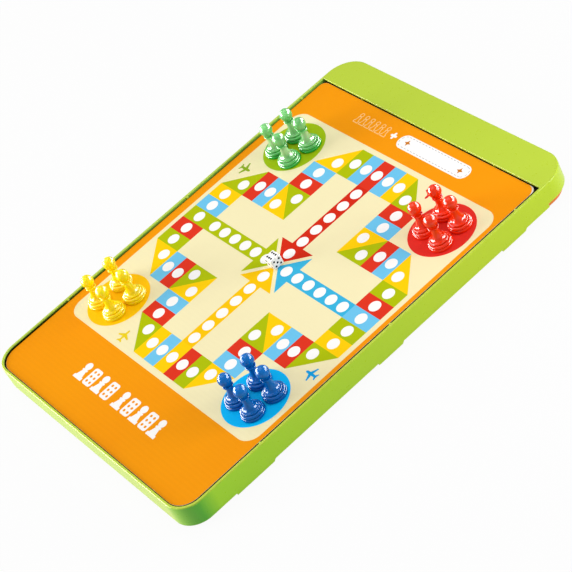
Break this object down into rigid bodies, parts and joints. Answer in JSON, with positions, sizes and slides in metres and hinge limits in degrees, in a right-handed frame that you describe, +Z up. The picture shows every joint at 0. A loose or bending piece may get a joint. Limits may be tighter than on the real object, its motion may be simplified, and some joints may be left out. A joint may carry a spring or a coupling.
{
  "type": "folding ludo board box",
  "caption": "Flat hinged game case with a ludo track card let into its lid, pawns standing in the corner homes and a die in the middle.",
  "frame": {"origin": "middle of the case's plan, on the surface it lies on", "axes": "+X across the case from the hinge side to the opening side, +Y along the case towards the header band, +Z up out of the board"},
  "size_m": [0.2094, 0.2974, 0.0388],
  "materials": {
    "lid_green": "satin injection-moulded plastic, fine moulding grain",
    "tray_orange": "satin injection-moulded plastic",
    "backing_black": "matt black board",
    "card_print": "smooth printed and varnished card with a white core",
    "pin_steel": "drawn steel wire",
    "pawn_green": "glossy moulded plastic",
    "pawn_red": "glossy moulded plastic",
    "pawn_yellow": "glossy moulded plastic",
    "pawn_blue": "glossy moulded plastic",
    "die_white": "polished plastic with painted pips"
  },
  "bodies": {
    "tray": {"base_tray": "tray_orange"},
    "lid": {"lid_shell": "lid_green", "backing_board": "backing_black", "hinge_pin_1": "pin_steel", "hinge_pin_2": "pin_steel", "hinge_pin_3": "pin_steel"},
    "card": {"game_card": "card_print"},
    "pawn_green_1_body": {"pawn_green_1": "pawn_green"},
    "pawn_green_2_body": {"pawn_green_2": "pawn_green"},
    "pawn_green_3_body": {"pawn_green_3": "pawn_green"},
    "pawn_green_4_body": {"pawn_green_4": "pawn_green"},
    "pawn_red_1_body": {"pawn_red_1": "pawn_red"},
    "pawn_red_2_body": {"pawn_red_2": "pawn_red"},
    "pawn_red_3_body": {"pawn_red_3": "pawn_red"},
    "pawn_red_4_body": {"pawn_red_4": "pawn_red"},
    "pawn_yellow_1_body": {"pawn_yellow_1": "pawn_yellow"},
    "pawn_yellow_2_body": {"pawn_yellow_2": "pawn_yellow"},
    "pawn_yellow_3_body": {"pawn_yellow_3": "pawn_yellow"},
    "pawn_yellow_4_body": {"pawn_yellow_4": "pawn_yellow"},
    "pawn_blue_1_body": {"pawn_blue_1": "pawn_blue"},
    "pawn_blue_2_body": {"pawn_blue_2": "pawn_blue"},
    "pawn_blue_3_body": {"pawn_blue_3": "pawn_blue"},
    "pawn_blue_4_body": {"pawn_blue_4": "pawn_blue"},
    "die_body": {"die": "die_white"}
  },
  "joints": [
    {"name": "lid_hinge", "type": "hinge", "parent": "tray", "child": "lid", "pos_m": [-0.1025, 0, 0.0025], "axis": [0, -1, 0], "range_deg": [0, 90]},
    {"name": "card_lift", "type": "slide", "parent": "lid", "child": "card", "axis": [0, 0, 1], "range_m": [0, 0.04]},
    {"name": "pawn_green_1_lift", "type": "slide", "parent": "card", "child": "pawn_green_1_body", "axis": [0, 0, 1], "range_m": [0, 0.03]},
    {"name": "pawn_green_2_lift", "type": "slide", "parent": "card", "child": "pawn_green_2_body", "axis": [0, 0, 1], "range_m": [0, 0.03]},
    {"name": "pawn_green_3_lift", "type": "slide", "parent": "card", "child": "pawn_green_3_body", "axis": [0, 0, 1], "range_m": [0, 0.03]},
    {"name": "pawn_green_4_lift", "type": "slide", "parent": "card", "child": "pawn_green_4_body", "axis": [0, 0, 1], "range_m": [0, 0.03]},
    {"name": "pawn_red_1_lift", "type": "slide", "parent": "card", "child": "pawn_red_1_body", "axis": [0, 0, 1], "range_m": [0, 0.03]},
    {"name": "pawn_red_2_lift", "type": "slide", "parent": "card", "child": "pawn_red_2_body", "axis": [0, 0, 1], "range_m": [0, 0.03]},
    {"name": "pawn_red_3_lift", "type": "slide", "parent": "card", "child": "pawn_red_3_body", "axis": [0, 0, 1], "range_m": [0, 0.03]},
    {"name": "pawn_red_4_lift", "type": "slide", "parent": "card", "child": "pawn_red_4_body", "axis": [0, 0, 1], "range_m": [0, 0.03]},
    {"name": "pawn_yellow_1_lift", "type": "slide", "parent": "card", "child": "pawn_yellow_1_body", "axis": [0, 0, 1], "range_m": [0, 0.03]},
    {"name": "pawn_yellow_2_lift", "type": "slide", "parent": "card", "child": "pawn_yellow_2_body", "axis": [0, 0, 1], "range_m": [0, 0.03]},
    {"name": "pawn_yellow_3_lift", "type": "slide", "parent": "card", "child": "pawn_yellow_3_body", "axis": [0, 0, 1], "range_m": [0, 0.03]},
    {"name": "pawn_yellow_4_lift", "type": "slide", "parent": "card", "child": "pawn_yellow_4_body", "axis": [0, 0, 1], "range_m": [0, 0.03]},
    {"name": "pawn_blue_1_lift", "type": "slide", "parent": "card", "child": "pawn_blue_1_body", "axis": [0, 0, 1], "range_m": [0, 0.03]},
    {"name": "pawn_blue_2_lift", "type": "slide", "parent": "card", "child": "pawn_blue_2_body", "axis": [0, 0, 1], "range_m": [0, 0.03]},
    {"name": "pawn_blue_3_lift", "type": "slide", "parent": "card", "child": "pawn_blue_3_body", "axis": [0, 0, 1], "range_m": [0, 0.03]},
    {"name": "pawn_blue_4_lift", "type": "slide", "parent": "card", "child": "pawn_blue_4_body", "axis": [0, 0, 1], "range_m": [0, 0.03]},
    {"name": "die_lift", "type": "slide", "parent": "card", "child": "die_body", "axis": [0, 0, 1], "range_m": [0, 0.03]}
  ]
}
